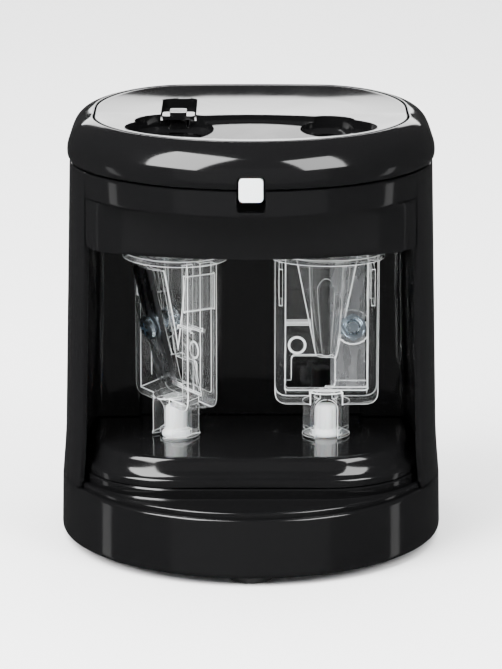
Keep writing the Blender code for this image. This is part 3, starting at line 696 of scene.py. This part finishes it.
def interlock_button():
    """White square button with the round stem that meets its spring."""
    face_y, back_y, stem_r, stem_z = -39.85, -36.5, 1.1, 88.0
    button = mesh_object("button_cap", through(round_rect(-2.6, 2.6, 85.7, 90.9, 0.9), face_y, back_y))
    boolean(button, turned([(stem_r, -0.4), (stem_r, 3.6)], 32), "UNION",
            at=(0.0, back_y, stem_z), turn=(-90.0, 0.0, 0.0))
    finish_piece(button, LOOKS["white_plastic"], "interlock", ("interlock_button",), bevel=0.35)


# ---------------------------------------------------------------- cutters

TILT = 13.0                                 # the blade's lean, and the cone's half angle
TIP_Z = 43.2                                # outside tip of the cone
FRAME_TOP = 66.9
FLANGE_TOP = 68.2
SCREW_X, SCREW_Z = -6.0, 49.8
PENCIL_R = {"left": 6.1, "right": 4.3}      # bore of each cutter
TURN = {"left": -58.0, "right": 180.0}      # how far each cutter stands turned at rest


def seat_y(z):
    """Where the tilted blade seat stands at a height."""
    return 0.45 - (0.9 + (z - TIP_Z - 0.5) * math.tan(math.radians(TILT)))


def settle(piece, side):
    """Moves a piece made about the cutter's own axis to its place."""
    sign = -1 if side == "left" else 1
    turn = math.radians(TURN[side])
    for vertex in piece.data.vertices:
        x, y, z = vertex.co
        vertex.co = (
            x * math.cos(turn) - y * math.sin(turn) + sign * SPINDLE_X * MM,
            x * math.sin(turn) + y * math.cos(turn) + SPINDLE_Y * MM, z)


def cutter_body(side):
    """Clear moulding: framed web with rails, cone with its seat, flange, collar and slotted boss."""
    pencil = PENCIL_R[side]
    half, depth = 11.8, 3.85
    web = 0.9
    view = fillet((half, 36.0), (half, 33.0), (half - 3.2, 33.0), 8)
    left_view = [(-x, z) for x, z in reversed(view)]
    frame_view = [(half, FRAME_TOP)] + view + left_view + [(-half, FRAME_TOP)]
    body = mesh_object(f"cutter_clear_{side}", through(frame_view, -depth, depth))
    recess = round_rect(-9.4, 9.4, 36.4, 72.0, 0.8)
    for y0, y1 in ((-8.0, -web), (web, 8.0)):
        boolean(body, through(recess, y0, y1))
    drive_boss = [(5.5, 25.15), (5.5, 25.5), (5.3, 26.0), (5.3, 35.8), (4.9, 36.3)]
    boolean(body, turned(drive_boss, 64), "UNION")
    cone = [(2.3, TIP_Z), (2.4, TIP_Z + 0.3), (6.95, FRAME_TOP - 0.3), (7.0, FRAME_TOP + 0.4)]
    boolean(body, turned(cone, 72), "UNION")
    cross_rib = box(-9.6, 9.6, -1.5, 1.5, 51.0, 51.6)
    boolean(body, cross_rib, "UNION")
    seat = [(-9.6, -13.8), (0.3, -13.8), (0.3, 14.9), (-9.6, 14.9)]
    tilted = {"at": (0.0, seat_y(SCREW_Z), SCREW_Z), "turn": (TILT, 0.0, 0.0)}
    boolean(body, loft([[(x, y, z) for x, z in seat] for y in (0.02, 1.5)]), "UNION", **tilted)
    boss = {"at": (SCREW_X, seat_y(SCREW_Z), SCREW_Z), "turn": (TILT + 90.0, 0.0, 0.0)}
    boolean(body, turned([(3.9, -2.6), (3.9, -0.1)], 48), "UNION", **boss)
    flange_long, flange_short = 13.2, 11.5
    flange = [(flange_long * math.cos(a), flange_short * math.sin(a)) for a in FULL_TURN]
    boolean(body, prism(flange, FRAME_TOP - 0.1, FLANGE_TOP), "UNION")
    boolean(body, turned([(8.0, FLANGE_TOP - 0.5), (8.0, 72.9), (7.6, 73.4)], 96), "UNION")
    point_r = 0.9
    wide_z = TIP_Z + 0.5 + (pencil - point_r) / math.tan(math.radians(TILT))
    bore = [(0.7, TIP_Z - 1.0), (point_r, TIP_Z + 0.5), (pencil, wide_z), (pencil, 71.4),
            (pencil + 0.6, 74.4)]
    boolean(body, turned(bore, 64))
    boolean(body, box(-9.39, 9.39, -15.0, 0.0, -14.3, 15.2), **tilted)
    rail_slot = 0.35
    for x in (-10.45, 10.45):
        boolean(body, box(x - rail_slot, x + rail_slot, -8.0, 8.0, 56.2, 64.4))
    ejector_ring = turned([(1.75, -0.2), (1.95, -0.2), (1.95, 0.2), (1.75, 0.2)], 40, ring=True)
    boolean(body, ejector_ring, at=(6.7, web, 46.2), turn=(90.0, 0.0, 0.0))
    shavings_window = round_rect(-1.9, 7.9, 36.9, 43.6, 0.8)
    boolean(body, through(shavings_window, -8.0, 8.0))
    boolean(body, turned([(3.6, 24.0), (3.6, 26.4), (2.8, 26.9), (2.8, 34.0)], 48))
    slot_r, slot_z = 2.5, 31.9
    turns = [math.pi - math.pi * k / 12 for k in range(13)]
    arch = [(slot_r * math.cos(a), slot_z + slot_r * math.sin(a)) for a in turns]
    boolean(body, through(arch + [(slot_r, 24.0), (-slot_r, 24.0)], -12.0, 12.0))
    screw_hole = 1.8
    boolean(body, turned([(screw_hole, -9.0), (screw_hole, 2.0)], 32), **boss)
    settle(body, side)
    # The clear body's bevels get the painted edge highlight.
    finish_piece(body, LOOKS["clear_plastic"], f"cutter_{side}", (f"cutter_body_{side}",), bevel=0.16,
                 edge_highlight_look=EDGE_HIGHLIGHT)


HEX_POINTS = 48


def hex_loop(radius, z, bite=1.0):
    """A hexagon's outline; bite below one rounds its corners off."""
    half_side = math.pi / 6
    points = []
    for k in range(HEX_POINTS):
        a = 2 * math.pi * k / HEX_POINTS
        flat = radius * math.cos(half_side) / math.cos((a + half_side) % (math.pi / 3) - half_side)
        r = min(flat, radius * bite)
        points.append((r * math.cos(a), r * math.sin(a), z))
    return points


def cutter_hardware(side):
    """Blade with a ground edge, pan-head screw and chamfered nut."""
    body = f"cutter_{side}"
    tilted = (math.radians(TILT), 0.0, 0.0)

    def place(piece, at, turn):
        """Lays a piece on the cutter, then moves both to the cutter's place."""
        piece.rotation_euler = turn
        piece.location = Vector(at) * MM
        bpy.context.view_layer.update()
        piece.data.transform(piece.matrix_world)
        piece.matrix_world.identity()
        piece.location = (0.0, 0.0, 0.0)
        piece.rotation_euler = (0.0, 0.0, 0.0)
        settle(piece, side)
    edge = [(-8.9, -0.3), (-0.9, -0.3), (-2.0, -1.0), (-8.9, -1.0)]
    blade = mesh_object(f"blade_{side}", prism(edge, -13.7, 14.8))
    boolean(blade, turned([(1.8, -3.0), (1.8, 3.0)], 32), at=(SCREW_X, 0.0, 0.0), turn=(90.0, 0.0, 0.0))
    place(blade, (0.0, seat_y(SCREW_Z), SCREW_Z), tilted)
    finish_piece(blade, LOOKS["steel"], body, (f"cutter_blade_{side}",), bevel=0.08)
    lying = (math.radians(TILT - 90.0), 0.0, 0.0)
    at = (SCREW_X, seat_y(SCREW_Z), SCREW_Z)
    head = [(0.3, -2.95), (2.0, -2.9), (2.7, -2.5), (2.9, -1.8), (2.75, -1.45), (2.4, -1.35)]
    thread = [(1.5 - 0.12 * (k % 2), -1.2 + 0.25 * k) for k in range(27)]
    screw = mesh_object(f"screw_{side}", turned(
        head + [(1.5, -1.3)] + thread + [(1.1, 5.7)], 40))
    for turn in (0.0, 90.0):
        boolean(screw, box(-1.5, 1.5, -0.3, 0.3, -4.0, -2.2), turn=(0.0, 0.0, turn))
    place(screw, at, lying)
    finish_piece(screw, LOOKS["zinc"], body, (f"blade_screw_{side}",))
    nut_r, chamfer = 3.2, 0.93
    rings = [hex_loop(nut_r, 2.9, chamfer), hex_loop(nut_r, 3.15), hex_loop(nut_r, 4.95),
             hex_loop(nut_r, 5.2, chamfer)]
    rings += [circle(r, z, HEX_POINTS) for r, z in (
        (2.55, 5.2), (2.5, 5.1), (2.3, 5.1), (2.25, 5.2), (1.95, 5.2),
        (1.8, 5.0), (1.8, 3.0), (2.0, 2.9))]
    nut = mesh_object(f"nut_{side}", loft(rings, ring=True))
    place(nut, at, lying)
    finish_piece(nut, LOOKS["zinc"], body, (f"blade_nut_{side}",))


def spindle(side):
    """White drive spindle with flutes and a domed top, its foot flared over the platform."""
    points, flutes, depth = 96, 8, 0.16
    flutes_low, flutes_high = 26.5, 31.9
    rails = []
    profile = [(1.5, 8.3), (1.5, 9.9), (2.4, 9.9), (2.4, 24.6), (3.2, 24.9), (3.3, 25.2), (3.2, 25.7),
               (2.6, 26.3), (2.4, 26.8), (2.4, 31.2), (2.2, 31.8), (1.6, 32.15), (0.3, 32.2)]
    for radius, z in profile:
        loop = []
        for k in range(points):
            a = 2 * math.pi * k / points
            groove = depth * max(0.0, math.cos(flutes * a)) if flutes_low < z < flutes_high else 0.0
            loop.append(((radius - groove) * math.cos(a), (radius - groove) * math.sin(a), z))
        rails.append(loop)
    piece = mesh_object(f"drive_spindle_{side}", loft(rails))
    settle(piece, side)
    finish_piece(piece, LOOKS["white_plastic"], f"cutter_{side}", (f"spindle_{side}",))


# ---------------------------------------------------------------- studio, in metres but for the floor

def soft_box(name, place, aim, width, height, power, mirrored=True):
    """A rectangular area light, in watts; an unmirrored one isn't seen in reflections."""
    lamp = bpy.data.lights.new(name, "AREA")
    lamp.shape = "RECTANGLE"
    lamp.size, lamp.size_y = width, height
    lamp.energy = power
    made = bpy.data.objects.new(name, lamp)
    made.location = place
    made.rotation_euler = (Vector(aim) - Vector(place)).to_track_quat("-Z", "Y").to_euler()
    made.visible_glossy = mirrored
    bpy.context.scene.collection.objects.link(made)


def studio():
    """White floor and soft boxes: two above in front, side strips, a wide front and a panel behind."""
    floor = mesh_object("studio_floor", box(-6000, 6000, -1500, 9000, -4.0, 0.0))
    look = new_look("floor_pale", (0.98, 0.98, 0.98), 0.75, Specular_IOR_Level=0.1)
    add_bump(look, 3.0, 0.00001)
    floor.data.materials.append(look)
    floor.visible_glossy = False
    world = bpy.data.worlds.new("studio")
    bpy.context.scene.world = world
    world.use_nodes = True
    sky = world.node_tree.nodes["Background"]
    sky.inputs["Color"].default_value = (1.0, 1.0, 1.0, 1.0)
    sky.inputs["Strength"].default_value = 0.05

    centre = (0.0, -0.03, 0.09)
    soft_box("key_left", (-0.579, -0.471, 0.793), centre, 0.667, 0.90, 38.0)
    soft_box("key_right", (0.613, -0.57, 0.705), centre, 0.52, 0.645, 14.5)
    for name, x in (("strip_left", -1.2), ("strip_right", 1.2)):
        soft_box(name, (x, 0.12, -0.28), centre, 0.16, 0.5, 0.25)
    soft_box("front", (0.0, -2.0, 0.2), (0.0, 0.0, 0.2), 4.5, 2.2, 5.0)
    soft_box("panel_behind", (0.0, 2.2, 0.757), (0.0, 0.0, 0.757), 1.45, 0.673, 15.5)
    soft_box("floor_wash", (0.0, 0.6, 2.6), (0.0, 0.6, 0.0), 3.0, 3.0, 230.0, False)


def camera():
    """The view of the object that the photo has, without depth of field."""
    eye = bpy.data.cameras.new("photo_view")
    made = bpy.data.objects.new("photo_view", eye)
    bpy.context.scene.collection.objects.link(made)
    made.location = (0.0, -0.65285, 0.20605)
    target = Vector((0.0, 0.0020, 0.04654))
    made.rotation_euler = (target - made.location).to_track_quat("-Z", "Y").to_euler()
    eye.sensor_fit = "VERTICAL"
    eye.sensor_height = 36.0
    eye.lens = 157.1
    eye.clip_start = 0.05
    eye.clip_end = 50.0
    bpy.context.scene.camera = made


dress_cad_nodes()
base_tray()
platform_cover()
rear_shell()
cavity_wall()
hood()
top_cap()
top_panel()
selector()
interlock_button()
for cutter_side in ("left", "right"):
    cutter_body(cutter_side)
    cutter_hardware(cutter_side)
    spindle(cutter_side)
studio()
camera()
